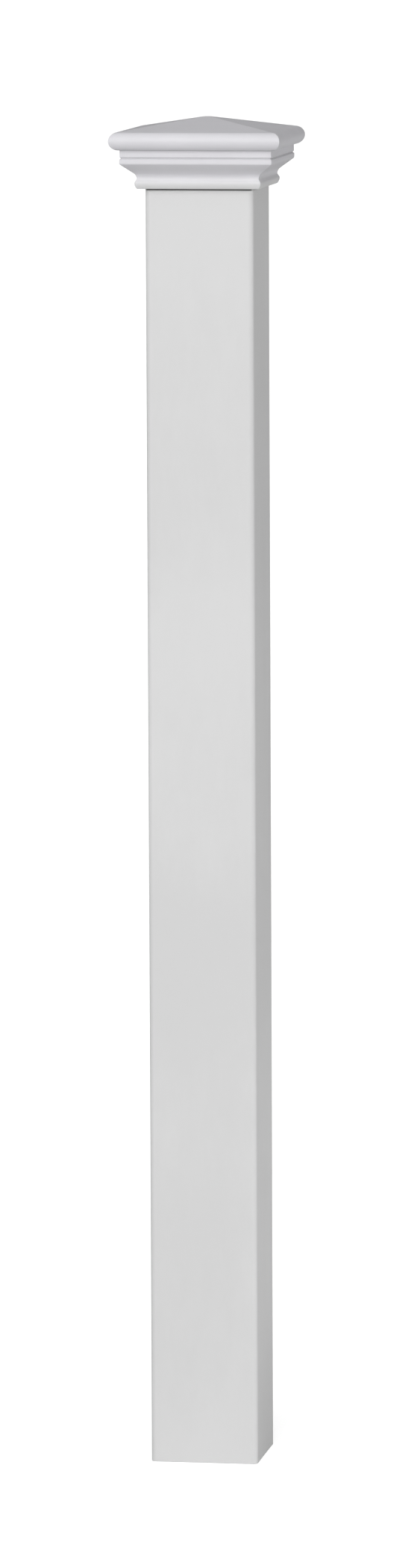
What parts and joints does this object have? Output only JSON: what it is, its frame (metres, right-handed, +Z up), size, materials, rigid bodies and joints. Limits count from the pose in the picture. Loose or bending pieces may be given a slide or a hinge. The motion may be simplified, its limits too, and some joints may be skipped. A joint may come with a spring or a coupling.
{
  "type": "vinyl fence post with cap",
  "caption": "Hollow square white vinyl fence post standing on its cut end, with a lift-off moulded cap under a low pyramid roof.",
  "frame": {"origin": "centre of the post's foot, on the ground", "axes": "+Z up along the post; X and Y square to its faces, the front face looking along -Y"},
  "size_m": [0.1606, 0.1606, 1.2657],
  "materials": {
    "post_vinyl": "extruded white PVC, satin, with faint lengthwise die lines",
    "cap_vinyl": "injection-moulded white PVC, satin, a touch cooler than the post"
  },
  "bodies": {
    "root": {"post": "post_vinyl", "cap": "cap_vinyl"}
  },
  "joints": []
}
